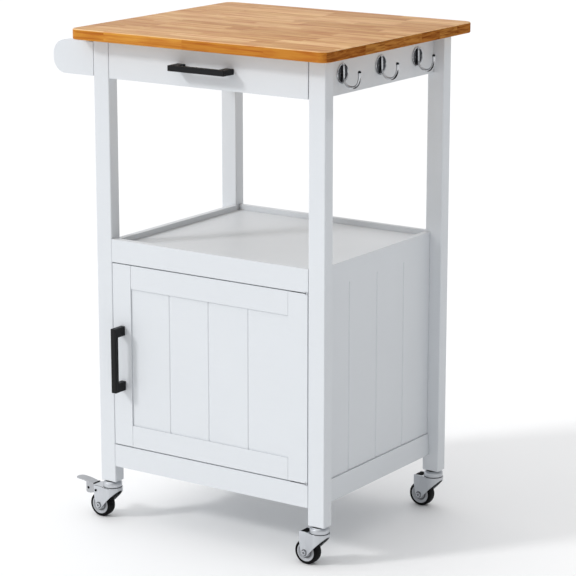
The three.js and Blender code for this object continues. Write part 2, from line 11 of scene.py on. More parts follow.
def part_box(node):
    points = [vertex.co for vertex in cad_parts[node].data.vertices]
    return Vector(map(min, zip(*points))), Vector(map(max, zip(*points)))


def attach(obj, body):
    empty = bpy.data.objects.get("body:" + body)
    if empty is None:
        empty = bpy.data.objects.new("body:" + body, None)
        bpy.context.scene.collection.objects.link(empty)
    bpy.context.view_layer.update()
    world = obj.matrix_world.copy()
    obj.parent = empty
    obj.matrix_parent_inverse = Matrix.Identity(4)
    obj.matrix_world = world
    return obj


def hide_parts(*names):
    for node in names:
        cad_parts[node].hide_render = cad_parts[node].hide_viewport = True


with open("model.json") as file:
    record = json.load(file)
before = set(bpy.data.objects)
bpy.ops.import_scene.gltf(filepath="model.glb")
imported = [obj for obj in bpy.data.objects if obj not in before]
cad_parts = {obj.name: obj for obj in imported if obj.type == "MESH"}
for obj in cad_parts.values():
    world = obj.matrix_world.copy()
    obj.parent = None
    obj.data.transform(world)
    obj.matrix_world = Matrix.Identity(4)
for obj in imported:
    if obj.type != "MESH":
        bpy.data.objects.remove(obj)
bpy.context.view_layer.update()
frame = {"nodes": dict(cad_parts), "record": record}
RECORD = frame["record"]
MM = 0.001
CORNERS = ("front_left", "front_right", "back_left", "back_right")


# ---- node trees ---------------------------------------------------------------------------------
class Tree:
    """A material's node tree with short ways to add nodes and join them."""

    def __init__(self, name):
        self.material = bpy.data.materials.new(name)
        self.material.use_nodes = True
        self.nodes = self.material.node_tree.nodes
        self.links = self.material.node_tree.links
        self.shader = self.nodes["Principled BSDF"]

    def plug(self, socket, value):
        """Joins an output to a socket, or sets a plain value on it."""
        if isinstance(value, bpy.types.NodeSocket):
            self.links.new(value, socket)
        else:
            socket.default_value = value

    def set(self, **values):
        """Sets or joins the shader's own sockets."""
        for key, value in values.items():
            self.plug(self.shader.inputs[key.replace("_", " ")], value)
        return self

    def math(self, operation, a, b=0.0):
        node = self.nodes.new("ShaderNodeMath")
        node.operation = operation
        self.plug(node.inputs[0], a)
        self.plug(node.inputs[1], b)
        return node.outputs[0]

    def place(self):
        """The point in the object's own coordinates, in metres."""
        return self.nodes.new("ShaderNodeTexCoord").outputs["Object"]

    def split(self, vector):
        node = self.nodes.new("ShaderNodeSeparateXYZ")
        self.plug(node.inputs[0], vector)
        return node.outputs

    def vector(self, x, y, z):
        node = self.nodes.new("ShaderNodeCombineXYZ")
        for socket, value in zip(node.inputs, (x, y, z)):
            self.plug(socket, value)
        return node.outputs[0]

    def scaled(self, vector, factors):
        node = self.nodes.new("ShaderNodeVectorMath")
        node.operation = "MULTIPLY"
        self.plug(node.inputs[0], vector)
        node.inputs[1].default_value = factors
        return node.outputs[0]

    def noise(self, vector, scale, detail=4.0, roughness=0.55, distortion=0.0):
        node = self.nodes.new("ShaderNodeTexNoise")
        self.plug(node.inputs["Vector"], vector)
        node.inputs["Scale"].default_value = scale
        node.inputs["Detail"].default_value = detail
        node.inputs["Roughness"].default_value = roughness
        node.inputs["Distortion"].default_value = distortion
        return node.outputs["Fac"]

    def white(self, vector):
        node = self.nodes.new("ShaderNodeTexWhiteNoise")
        node.noise_dimensions = "3D"
        self.plug(node.inputs["Vector"], vector)
        return node.outputs["Value"]

    def ramp(self, factor, stops):
        """A colour ramp through (position, colour) stops."""
        node = self.nodes.new("ShaderNodeValToRGB")
        points = node.color_ramp.elements
        while len(points) < len(stops):
            points.new(1.0)
        for point, (position, color) in zip(points, stops):
            point.position = position
            point.color = (*color, 1.0)
        self.plug(node.inputs["Fac"], factor)
        return node.outputs["Color"]

    def between(self, factor, low, high, start=0.3, end=0.7):
        """A number that runs from low to high as the factor runs from start to end."""
        node = self.nodes.new("ShaderNodeMapRange")
        self.plug(node.inputs["Value"], factor)
        node.inputs["From Min"].default_value = start
        node.inputs["From Max"].default_value = end
        node.inputs["To Min"].default_value = low
        node.inputs["To Max"].default_value = high
        return node.outputs[0]

    def mix(self, factor, a, b, mode="MIX"):
        node = self.nodes.new("ShaderNodeMix")
        node.data_type = "RGBA"
        node.blend_type = mode
        self.plug(node.inputs["Factor"], factor)
        self.plug(node.inputs["A"], (*a, 1.0) if isinstance(a, tuple) else a)
        self.plug(node.inputs["B"], (*b, 1.0) if isinstance(b, tuple) else b)
        return node.outputs["Result"]

    def bump(self, height, strength, distance):
        node = self.nodes.new("ShaderNodeBump")
        node.inputs["Strength"].default_value = strength
        node.inputs["Distance"].default_value = distance
        self.plug(node.inputs["Height"], height)
        return node.outputs["Normal"]


def shade(color, factor):
    return tuple(min(1.0, c * factor) for c in color)


# ---- materials ----------------------------------------------------------------------------------
# A stave's width, the length of the blocks in it, and the staves from the worktop's middle to its front.
STAVE = 0.0304
BLOCK = 0.17
STAVES_TO_FRONT = 8


def stave_row(tree, y, width):
    """The number of the stave that a point is in, counted from the worktop's front edge."""
    from_front = tree.math("ADD", y, STAVES_TO_FRONT * STAVE)
    return tree.math("FLOOR", tree.math("DIVIDE", from_front, width))


def stave_wood(name, palette, gloss, contrast):
    """Finger-jointed staves that run along X, each block with its own tint and grain.

    The constants beside row and block only choose which random numbers they get.
    """
    tree = Tree(name)
    x, y, z = tree.split(tree.place())
    row = stave_row(tree, y, STAVE)
    shift = tree.white(tree.vector(row, 3.1, 7.7))
    along = tree.math("ADD", tree.math("DIVIDE", x, BLOCK), tree.math("MULTIPLY", shift, 5.0))
    block = tree.math("FLOOR", along)
    tint = tree.white(tree.vector(row, block, 1.3))
    offset = tree.vector(tree.math("MULTIPLY", tint, 9.0), tree.math("MULTIPLY", tint, 31.0), z)
    joined = tree.nodes.new("ShaderNodeVectorMath")
    tree.plug(joined.inputs[0], tree.place())
    tree.plug(joined.inputs[1], offset)
    grain = joined.outputs[0]
    streak = tree.noise(tree.scaled(grain, (6.0, 130.0, 130.0)), 1.0, 5.0, 0.6, 0.25)
    fibre = tree.noise(tree.scaled(grain, (14.0, 420.0, 420.0)), 2.0, 3.0, 0.6)
    blush = tree.noise(tree.scaled(grain, (17.0, 76.0, 76.0)), 1.0, 4.0, 0.55, 0.3)
    base = tree.ramp(tint, palette)
    warm = tree.mix(1.0, base, (0.86, 0.70, 0.70), "MULTIPLY")
    base = tree.mix(tree.between(blush, 0.0, 1.0, 0.44, 0.68), base, warm)
    dark = tree.mix(1.0, base, (0.70, 0.50, 0.40), "MULTIPLY")
    color = tree.mix(tree.between(streak, 0.0, contrast, 0.46, 0.66), base, dark)
    color = tree.mix(tree.between(fibre, 0.0, 0.3), color, dark)
    return tree.set(
        Base_Color=color,
        Roughness=tree.between(streak, gloss, gloss + 0.12),
        Specular_IOR_Level=0.06,
        Normal=tree.bump(fibre, 0.12, 0.0004),
    ).material


def end_wood(name, palette, gloss):
    """The ends of the staves: growth rings cut across, a new set in every second stave."""
    tree = Tree(name)
    _, y, z = tree.split(tree.place())
    row = stave_row(tree, y, 2 * STAVE)
    tint = tree.white(tree.vector(row, 5.0, 2.0))
    turned = tree.vector(tree.math("MULTIPLY", tint, 7.0), y, tree.math("MULTIPLY", z, 11.0))
    ring = tree.noise(turned, 22.0, 6.0, 0.62, 0.8)
    pores = tree.noise(tree.place(), 900.0, 2.0)
    base = tree.ramp(tint, palette)
    dark = tree.mix(1.0, base, (0.50, 0.34, 0.28), "MULTIPLY")
    color = tree.mix(tree.between(ring, 0.0, 1.0, 0.42, 0.62), base, dark)
    return tree.set(
        Base_Color=color,
        Roughness=tree.between(pores, gloss, gloss + 0.15),
        Specular_IOR_Level=0.0,
        Normal=tree.bump(pores, 0.15, 0.0003),
    ).material


def board_wood(name, color):
    """Bare solid wood with its grain along the longest run of the drawer's boards."""
    tree = Tree(name)
    place = tree.place()
    streak = tree.noise(tree.scaled(place, (5.0, 3.0, 60.0)), 1.6, 6.0, 0.6, 0.6)
    fibre = tree.noise(tree.scaled(place, (40.0, 30.0, 500.0)), 2.0, 3.0)
    tone = tree.mix(tree.between(streak, 0.0, 0.8), color, shade(color, 0.66))
    return tree.set(
        Base_Color=tone,
        Roughness=tree.between(fibre, 0.5, 0.66),
        Normal=tree.bump(fibre, 0.2, 0.0003),
    ).material


def paint(name, color, gloss, ripple=0.05, shine=0.5):
    """Sprayed paint: a very fine ripple, and a roughness that wanders between the two of gloss."""
    tree = Tree(name)
    place = tree.place()
    cloud = tree.noise(place, 7.0, 3.0)
    peel = tree.noise(place, 420.0, 2.0)
    scuff = tree.noise(tree.scaled(place, (3.0, 3.0, 40.0)), 6.0, 5.0, 0.7)
    tone = tree.mix(tree.between(cloud, 0.0, 0.5), color, shade(color, 0.975))
    tone = tree.mix(tree.between(scuff, 0.0, 0.12), tone, shade(color, 0.93))
    return tree.set(
        Base_Color=tone,
        Roughness=tree.between(cloud, *gloss),
        Specular_IOR_Level=shine,
        Normal=tree.bump(peel, ripple, 0.0003),
    ).material


def metal(name, color, gloss, patches, ripple):
    """Plated metal: patches of gloss, fine scratches and a slight unevenness."""
    tree = Tree(name)
    place = tree.place()
    patch = tree.noise(place, patches, 4.0)
    scratch = tree.noise(tree.scaled(place, (30.0, 300.0, 30.0)), 5.0, 3.0)
    tone = tree.mix(tree.between(patch, 0.0, 0.8), color, shade(color, 0.86))
    return tree.set(
        Base_Color=tone,
        Metallic=1.0,
        Roughness=tree.between(patch, *gloss),
        Normal=tree.bump(scratch, ripple, 0.0002),
    ).material


def moulded(name, color, gloss, ripple, shine=0.5):
    """Moulded plastic or rubber with a fine texture."""
    tree = Tree(name)
    place = tree.place()
    patch = tree.noise(place, 30.0, 4.0)
    spark = tree.noise(place, 300.0, 3.0)
    tone = tree.mix(tree.between(patch, 0.0, 0.8), color, shade(color, 0.85))
    return tree.set(
        Base_Color=tone,
        Roughness=tree.between(patch, *gloss),
        Specular_IOR_Level=shine,
        Normal=tree.bump(spark, ripple, 0.0003),
    ).material


TOP_TINTS = [
    (0.0, (0.60, 0.35, 0.13)),
    (0.2, (0.73, 0.47, 0.21)),
    (0.4, (0.54, 0.295, 0.10)),
    (0.6, (0.77, 0.51, 0.24)),
    (0.8, (0.565, 0.305, 0.11)),
    (1.0, (0.68, 0.42, 0.17)),
]
EDGE_TINTS = [
    (0.0, (0.66, 0.31, 0.05)),
    (0.3, (0.54, 0.22, 0.03)),
    (0.6, (0.70, 0.345, 0.058)),
    (0.8, (0.50, 0.195, 0.026)),
    (1.0, (0.64, 0.285, 0.04)),
]
# A lighter wood for the eased edges at the top: a painted highlight along them.
ARRIS_HIGHLIGHT_TINTS = [
    (0.0, (0.90, 0.66, 0.36)),
    (0.5, (0.84, 0.56, 0.27)),
    (1.0, (0.93, 0.72, 0.42)),
]
END_TINTS = [
    (0.0, (0.46, 0.20, 0.045)),
    (0.5, (0.38, 0.135, 0.026)),
    (1.0, (0.54, 0.25, 0.06)),
]
WHITE = (0.668, 0.694, 0.722)
BARE_WOOD = (0.60, 0.49, 0.36)
PULL_BLACK = (0.005, 0.0055, 0.0065)
CHROME = (0.62, 0.63, 0.65)
# Chrome darkened to paint the dark reflections in the hooks' dishes and balls.
CHROME_PAINTED_DARK = (0.028, 0.030, 0.035)
ZINC = (0.60, 0.62, 0.65)
TREAD_GREY = (0.47, 0.48, 0.50)
HUB_LIGHT = (0.44, 0.455, 0.48)
HUB_DARK = (0.12, 0.125, 0.135)
RUBBER = (0.003, 0.003, 0.0035)
BLACK_PLASTIC = (0.006, 0.006, 0.007)
# Black for painted shade (the fork inserts, the shadow lines and the pedal's hole) and for the pedal's
# rubber bar and pivot ends.
SHADOW_BLACK = (0.002, 0.002, 0.0022)
MATERIALS = {
    "worktop_wood": stave_wood("worktop_wood", TOP_TINTS, gloss=0.36, contrast=0.85),
    "worktop_edge": stave_wood("worktop_edge", EDGE_TINTS, gloss=0.34, contrast=0.9),
    "worktop_arris_highlight": stave_wood("worktop_arris_highlight", ARRIS_HIGHLIGHT_TINTS, gloss=0.3, contrast=0.5),
    "worktop_end": end_wood("worktop_end", END_TINTS, gloss=0.4),
    "white_paint": paint("white_paint", WHITE, gloss=(0.36, 0.44)),
    "bare_wood": board_wood("bare_wood", BARE_WOOD),
    "black_pull": paint("black_pull", PULL_BLACK, gloss=(0.42, 0.55), ripple=0.12, shine=0.2),
    "chrome": metal("chrome", CHROME, gloss=(0.16, 0.24), patches=60.0, ripple=0.01),
    "chrome_painted_dark_reflection": metal("chrome_painted_dark_reflection", CHROME_PAINTED_DARK, gloss=(0.12, 0.2), patches=90.0, ripple=0.02),
    "zinc_steel": metal("zinc_steel", ZINC, gloss=(0.34, 0.42), patches=14.0, ripple=0.03),
    "steel_tread": metal("steel_tread", TREAD_GREY, gloss=(0.42, 0.52), patches=30.0, ripple=0.06),
    "wheel_hub": moulded("wheel_hub", HUB_LIGHT, gloss=(0.32, 0.42), ripple=0.06),
    "hub_grey": moulded("hub_grey", HUB_DARK, gloss=(0.32, 0.42), ripple=0.06),
    "tyre_rubber": moulded("tyre_rubber", RUBBER, gloss=(0.5, 0.65), ripple=0.2, shine=0.1),
    "catch_plastic": moulded("catch_plastic", BLACK_PLASTIC, gloss=(0.45, 0.55), ripple=0.1, shine=0.2),
    # Painted shade in the forks and the pedal's hole, and the pedal's rubber bar and pivot ends.
    "dark_part": moulded("dark_part", SHADOW_BLACK, gloss=(0.6, 0.75), ripple=0.1, shine=0.05),
}
NODE_SLOT = {part["node"]: part["material_slot"] for part in RECORD["subparts"]}


# ---- carried-over nodes -------------------------------------------------------------------------
def soften(obj, width, segments=2):
    """Eases the sharp edges of a carried-over node, inside its own outline."""
    weld = obj.modifiers.new("weld", "WELD")
    weld.merge_threshold = 0.02 * MM
    bevel = obj.modifiers.new("bevel", "BEVEL")
    bevel.width = width
    bevel.segments = segments
    bevel.limit_method = "ANGLE"
    bevel.angle_limit = math.radians(32)
    bevel.harden_normals = True
    bevel.use_clamp_overlap = True


# How far the edges of each material's nodes are eased, in mm. The door panel's grooves are eased more.
EASE = {"white_paint": 0.9, "bare_wood": 0.6, "black_pull": 1.0, "zinc_steel": 0.3, "catch_plastic": 0.5}
GROOVE_EASE = 1.35
for name, obj in frame["nodes"].items():
    slot_name = NODE_SLOT[name]
    own = "steel_tread" if name.startswith("caster_brake") else slot_name
    obj.data.materials.clear()
    obj.data.materials.append(MATERIALS[own])
    if name == "door_panel":
        soften(obj, GROOVE_EASE * MM, 3)
    elif slot_name in EASE:
        soften(obj, EASE[slot_name] * MM)


# ---- building fine pieces -----------------------------------------------------------------------
def finish_piece(name, mesh, slot_name, body, material=None, node=None):
    """Puts a mesh in the scene as a piece that moves with a body."""
    for polygon in mesh.polygons:
        polygon.use_smooth = True
    mesh.materials.append(MATERIALS[material or slot_name])
    mesh.set_sharp_from_angle(angle=math.radians(35))
    obj = bpy.data.objects.new(name, mesh)
    bpy.context.scene.collection.objects.link(obj)
    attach(obj, body)
    if node:
        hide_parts(node)
    return obj


def mesh_from(name, verts, faces):
    mesh = bpy.data.meshes.new(name)
    mesh.from_pydata([tuple(v) for v in verts], [], faces)
    bm = bmesh.new()
    bm.from_mesh(mesh)
    bmesh.ops.remove_doubles(bm, verts=bm.verts, dist=1e-7)
    bmesh.ops.recalc_face_normals(bm, faces=bm.faces)
    bm.to_mesh(mesh)
    bm.free()
    return mesh


def lathe(name, profile, to_world, segments=64):
    """A turned shape from (radius, height) points, in mm, round a frame's own Z axis.

    A profile that isn't closed gets a flat end at its first and last points.
    """
    verts, faces = [], []
    count = len(profile)
    for i in range(segments):
        turn = 2 * math.pi * i / segments
        for r, h in profile:
            local = Vector((r * MM * math.cos(turn), r * MM * math.sin(turn), h * MM))
            verts.append(to_world @ local)
    for i in range(segments):
        a, b = i * count, ((i + 1) % segments) * count
        for j in range(count - 1):
            faces.append((a + j, b + j, b + j + 1, a + j + 1))
    if profile[0] != profile[-1]:
        faces.append([i * count for i in range(segments)])
        faces.append([i * count + count - 1 for i in range(segments)])
    return mesh_from(name, verts, faces)


def closed(profile):
    """The profile with its first point repeated at its end, so that a lathe leaves no open ends."""
    return [*profile, profile[0]]


def turned_over(profile, side):
    """The profile as it is for side 1, and mirrored along its axis for side -1."""
    return [(r, side * h) for r, h in profile]


def rounded(points, r, steps=4):
    """The line of (a, b) points with each corner replaced by a small curve of about radius r."""
    out = []
    for i in range(1, len(points) - 1):
        before, corner, after = (Vector(points[k]) for k in (i - 1, i, i + 1))
        to_before, to_after = before - corner, after - corner
        reach = min(r, to_before.length * 0.45, to_after.length * 0.45)
        start = corner + to_before.normalized() * reach
        end = corner + to_after.normalized() * reach
        for k in range(steps + 1):
            t = k / steps
            out.append(tuple(start * (1 - t) ** 2 + corner * (2 * t * (1 - t)) + end * t**2))
    return [tuple(points[0]), *out, tuple(points[-1])]


def sweep(name, path, radii, sides=20):
    """A round wire along points in metres, with a radius in mm at each of them and closed ends."""
    verts, faces = [], []
    side = Vector((0, 1, 0))
    for i, point in enumerate(path):
        ahead = path[min(i + 1, len(path) - 1)] - path[max(i - 1, 0)]
        across = side.cross(ahead).normalized()
        for k in range(sides):
            turn = 2 * math.pi * k / sides
            spread = across * math.cos(turn) + side * math.sin(turn)
            verts.append(point + spread * radii[i] * MM)
    for i in range(len(path) - 1):
        for k in range(sides):
            a, b = i * sides + k, i * sides + (k + 1) % sides
            faces.append((a, b, b + sides, a + sides))
    faces.append(list(range(sides)))
    faces.append(list(range(len(verts) - sides, len(verts))))
    return mesh_from(name, verts, faces)


def bezier(a, b, c, d, steps):
    """Points along a cubic curve."""
    out = []
    for k in range(steps + 1):
        t = k / steps
        s = 1 - t
        out.append(a * s**3 + b * 3 * s * s * t + c * 3 * s * t * t + d * t**3)
    return out


# ---- worktop ------------------------------------------------------------------------------------
def worktop():
    """A slab with round corners and eased edges, its top, long edges and ends in their own grain, and
    its eased top edges in a lighter wood that paints their highlight.
    """
    low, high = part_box("worktop")
    corner, corner_steps = 18 * MM, 10
    arris, arris_steps = 2.0 * MM, 4
    centre = (low + high) / 2
    half = (high - low) / 2
    layers = []
    for k in range(arris_steps + 1):
        turn = math.pi / 2 * k / arris_steps
        layers.append((arris * (1 - math.sin(turn)), low.z + arris * (1 - math.cos(turn))))
    layers += [(inset, low.z + high.z - z) for inset, z in reversed(layers)]
    ring = []
    for quarter, (sx, sy) in enumerate([(1, 1), (-1, 1), (-1, -1), (1, -1)]):
        for k in range(corner_steps + 1):
            turn = math.pi / 2 * (quarter + k / corner_steps)
            ring.append((sx, sy, math.cos(turn), math.sin(turn)))
    verts, faces = [], []
    for inset, z in layers:
        r = corner - inset
        for sx, sy, cx, cy in ring:
            x = centre.x + sx * (half.x - corner) + cx * r
            y = centre.y + sy * (half.y - corner) + cy * r
            verts.append((x, y, z))
    count = len(ring)
    for i in range(len(layers) - 1):
        for k in range(count):
            a, b = i * count + k, i * count + (k + 1) % count
            faces.append((a, b, b + count, a + count))
    faces.append(list(range(count)))
    faces.append(list(range(len(verts) - count, len(verts))))
    mesh = mesh_from("worktop_slab", verts, faces)
    finish_piece("worktop_slab", mesh, "worktop_wood", "frame", node="worktop")
    for extra in ("worktop_edge", "worktop_end", "worktop_arris_highlight"):
        mesh.materials.append(MATERIALS[extra])
    edge_index, end_index, highlight_index = 1, 2, 3
    for polygon in mesh.polygons:
        # The sloping faces of the eased top edges take the lighter wood, a painted highlight.
        if 0.5 < polygon.normal.z < 0.95:
            polygon.material_index = highlight_index
        elif abs(polygon.normal.z) < 0.7:
            polygon.material_index = end_index if abs(polygon.normal.x) > 0.8 else edge_index


worktop()


# ---- hooks --------------------------------------------------------------------------------------
def hook(name):
    """A coat hook: a round plate, an upright strap over it that ends as a J of wire, and a ball. The
    plate's dish and the ball are chrome darkened to paint dark reflections.
    """
    low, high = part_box(name)
    plate_r = 17.5
    base = Vector((low.x, (low.y + high.y) / 2, high.z - plate_r * MM))
    outwards = Matrix.Translation(base) @ Matrix.Rotation(math.pi / 2, 4, "Y")
    rim = [(14.6, 0.2), (17.2, 0.2), (17.4, 0.9), (17.0, 1.5), (16.2, 1.8), (15.4, 1.6), (14.9, 0.9)]
    rim_mesh = lathe(name, closed(rounded(closed(rim), 0.3, 3)), outwards)
    finish_piece(f"{name}_rim", rim_mesh, "chrome", "frame", node=name)
    # The dish's darkened chrome is a painted dark reflection on each side of the strap.
    dish = [(0.01, 0.1), (15.3, 0.1), (15.3, 0.9), (12.6, 0.6), (7.0, 0.6), (0.01, 0.8)]
    dish_mesh = lathe(name, dish, outwards)
    finish_piece(f"{name}_dish", dish_mesh, "chrome", "frame", material="chrome_painted_dark_reflection")

    # The screw heads take the hubs' dark grey, so that they stay dark within the painted reflection.
    screw_head = [(0.01, 0.5), (1.4, 0.5), (1.5, 0.8), (1.2, 1.1), (0.6, 1.2), (0.01, 1.2)]
    screw_reach = 8.6 * MM
    for side in (-1, 1):
        place = Matrix.Translation((0, side * screw_reach, 0)) @ outwards
        screw = lathe(name, screw_head, place, 24)
        finish_piece(f"{name}_screw_{side + 2}", screw, "chrome", "frame", material="hub_grey")

    def at(x, z):
        return base + Vector((x * MM, 0, z * MM))

    path = bezier(at(1.5, 16.6), at(2.2, 14.6), at(2.4, 11), at(2.5, 6), 10)
    path += bezier(at(2.5, 6), at(2.6, 0), at(2.7, -4), at(2.9, -8), 8)[1:]
    path += bezier(at(2.9, -8), at(4.0, -17), at(11, -23), at(19, -23), 16)[1:]
    path += bezier(at(19, -23), at(30, -23), at(35.5, -13), at(34.5, 3), 18)[1:]
    strap_tip, strap, wire = 1.2, 2.0, 2.55
    swell_steps, strap_end, blend_steps = 12, 24, 6
    radii = [wire] * len(path)
    for i in range(strap_end):
        swell = math.sin(math.pi * min(0.5, (i + 1) / swell_steps))
        radii[i] = strap_tip + (strap - strap_tip) * swell
    for k in range(blend_steps):
        radii[strap_end + k] = strap + (wire - strap) * k / blend_steps
    finish_piece(f"{name}_wire", sweep(name, path, radii), "chrome", "frame")
    ball = [(0.01, -2.9), (1.5, -2.6), (2.5, -1.6), (2.9, 0), (2.5, 1.6), (1.5, 2.6), (0.01, 2.9)]
    ball_mesh = lathe(name, ball, Matrix.Translation(at(34.4, 4.4)), 32)
    finish_piece(f"{name}_ball", ball_mesh, "chrome", "frame", material="chrome_painted_dark_reflection")


for hook_name in ("hook_front", "hook_middle", "hook_back"):
    hook(hook_name)


# ---- casters ------------------------------------------------------------------------------------
# A caster's own measures are in mm from its foot, the point on the floor under its stem. The wheel
# trails towards -X, and a brake pedal stands out beyond it.
WHEEL_X, WHEEL_Z, WHEEL_R = -24.0, 23.0, 23.0
PEDAL_PIN = (-30.5, 50.5)
PEDAL_HOLE = (-49.9, 51.7)
PEDAL_ROOT = (-38.4, 61.2)


def foot_of(corner):
    """The point on the floor under a caster's stem."""
    low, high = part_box(f"caster_stem_{corner}")
    return Vector(((low.x + high.x) / 2, (low.y + high.y) / 2, 0))


def along_axle(centre):
    """A frame at a point, with its Z axis across the cart, as the axles and the pins are."""
    return Matrix.Translation(centre) @ Matrix.Rotation(math.pi / 2, 4, "X")


def wheel_frame(corner):
    low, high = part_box(f"caster_tyre_{corner}")
    return along_axle((low + high) / 2)


def caster(corner):
    """A caster's turned pieces: the head with the black rings of its seal and ball race, which also
    paint the lines of shade under the leg and at the cup's foot, the tyre and the hub.
    """
    across = wheel_frame(corner)
    half_tread = [(17.8, -9.0), (19.4, -9.3), (21.0, -9.0), (22.3, -7.8), (22.9, -5.5)]
    tyre = [*half_tread, (WHEEL_R, 0), *turned_over(reversed(half_tread), -1)]
    finish_piece(
        f"tyre_{corner}",
        lathe(corner, closed(tyre), across, 96),
        "tyre_rubber",
        f"wheel_{corner}",
        node=f"caster_tyre_{corner}",
    )
    on_floor = Matrix.Translation(foot_of(corner))
    cup = [(4.4, 61.9), (17.2, 61.9), (17.6, 62.5), (17.6, 69.0)]
    cup += [(17.0, 70.2), (15.0, 71.2), (14.0, 72.4)]
    stem = [(5.3, 72.5), (5.3, 109), (4.4, 110), (0.01, 110)]
    rivet = [(0.01, 55.6), (6.6, 55.6), (6.9, 57.6), (4.2, 58.6)]
    finish_piece(
        f"head_{corner}",
        lathe(corner, closed([*cup, *stem, *rivet]), on_floor, 72),
        "zinc_steel",
        "frame",
        node=f"caster_stem_{corner}",
    )
    # The black ring under the leg also paints the shadow gap there, and the black ring at the cup's foot
    # paints the dark line of shade there.
    seal_and_shade = [(9.4, 72.6), (13.2, 72.6), (13.6, 72.9), (13.6, 73.2), (13.2, 73.5), (9.4, 73.5)]
    finish_piece(f"seal_{corner}", lathe(corner, closed(seal_and_shade), on_floor), "catch_plastic", "frame")
    race_and_shade = [(5.0, 61.1), (17.7, 61.1), (17.7, 61.8), (5.0, 61.8)]
    finish_piece(f"race_{corner}", lathe(corner, closed(race_and_shade), on_floor), "catch_plastic", "frame")

    dish = [(3.3, 10.2), (5.6, 10.2), (6.6, 9.6), (7.2, 7.6), (8.4, 7.2), (12.6, 7.2), (13.6, 7.6)]
    dish += [(14.4, 9.0), (15.2, 9.4), (16.8, 9.3), (17.5, 8.6)]
    dish = rounded(dish, 0.5, 2)
    hub = dish + turned_over(reversed(dish), -1)
    finish_piece(
        f"hub_{corner}",
        lathe(corner, closed(hub), across, 72),
        "wheel_hub",
        f"wheel_{corner}",
        node=f"caster_hub_{corner}",
    )


def axle_rings(corner):
    """On each side, a washer and a six-sided socket on the axle, and a bearing cover on the hub."""
    across = wheel_frame(corner)
    washer = closed([(3.2, 13.05), (6.0, 13.05), (6.1, 13.3), (5.9, 13.6), (3.2, 13.6)])
    cover = closed([(8.6, 7.25), (11.8, 7.25), (11.9, 7.6), (11.4, 7.9), (9.0, 7.9)])
    nut_face, head_face = 16.0, 15.6
    for side in (-1, 1):
        face = head_face if side > 0 else nut_face
        socket = [(0.01, face - 0.4), (2.5, face - 0.4), (2.6, face)]
        socket += [(2.2, face + 0.2), (0.01, face + 0.2)]
        rings = (
            ("washer", washer, 48, "catch_plastic", "fork"),
            ("socket", socket, 6, "zinc_steel", "fork"),
            ("bearing", cover, 48, "wheel_hub", "wheel"),
        )
        for label, profile, segments, slot_name, body in rings:
            finish_piece(
                f"{label}_{corner}_{side + 2}",
                lathe(corner, turned_over(profile, side), across, segments),
                slot_name,
                f"{body}_{corner}",
                material="hub_grey",
            )


def pedal_details(corner):
    """The rubber bar at the pedal's root, the dark ends of its pivot, and a black disc in the hole
    behind it that paints the shade inside the hole.
    """
    foot = foot_of(corner)

    def pedal_piece(name, profile, x, z, segments):
        place = along_axle(foot + Vector((x, 0, z)) * MM)
        mesh = lathe(corner, profile, place, segments)
        finish_piece(name, mesh, "catch_plastic", f"brake_{corner}", material="dark_part")

    bar = [(0.7, -10.0), (1.0, -9.6), (1.0, 0.0), (1.0, 9.6), (0.7, 10.0)]
    pedal_piece(f"pedal_bar_{corner}", bar, *PEDAL_ROOT, 12)
    # The discs in the hole are painted shade; the ones on the pivot are its dark ends.
    for label, (x, z), outer, r in (("pivot", PEDAL_PIN, 13.9, 2.3), ("hole", PEDAL_HOLE, 10.25, 2.6)):
        plug = [(0.01, outer - 0.7), (r, outer - 0.7), (r, outer)]
        plug += [(r * 0.7, outer + 0.15), (0.01, outer + 0.1)]
        for side in (-1, 1):
            pedal_piece(f"{label}_{corner}_{side + 2}", turned_over(plug, side), x, z, 24)


def painted_shade_insert(corner):
    """A black insert between a fork's cheeks, over the wheel and behind the fork's front edge, that
    paints the shade inside the fork.
    """
    foot = foot_of(corner)
    wheel_gap, last_angle = 23.7, math.radians(30)
    half, front, front_r, steps = 10.6, 15.8, 16.4, 12
    under_rivet, under_crown, under_plate = 54.8, 57.0, 60.4
    if corner.endswith("left"):
        back = -20.0
        top = [(back, under_rivet)]
    else:
        back = -34.0
        top = [(-19.5, under_rivet), (-19.5, under_plate), (back, under_plate)]
    outline = [(front, under_crown), (8.6, under_crown), (8.6, under_rivet), *top]
    first_angle = math.acos((back - WHEEL_X) / wheel_gap)
    for k in range(steps + 1):
        turn = first_angle + (last_angle - first_angle) * k / steps
        outline.append((WHEEL_X + wheel_gap * math.cos(turn), WHEEL_Z + wheel_gap * math.sin(turn)))
    outline.append((front, 54.6))
    verts = []
    for side in (-1, 1):
        for x, z in outline:
            y = min(half, math.sqrt(front_r**2 - x * x)) if x > 0 else half
            verts.append(foot + Vector((x, side * y, z)) * MM)
    count = len(outline)
    faces = [list(range(count)), list(range(count, 2 * count))]
    faces += [(k, (k + 1) % count, (k + 1) % count + count, k + count) for k in range(count)]
    mesh = mesh_from(corner, verts, faces)
    finish_piece(f"liner_{corner}", mesh, "catch_plastic", f"fork_{corner}", material="dark_part")


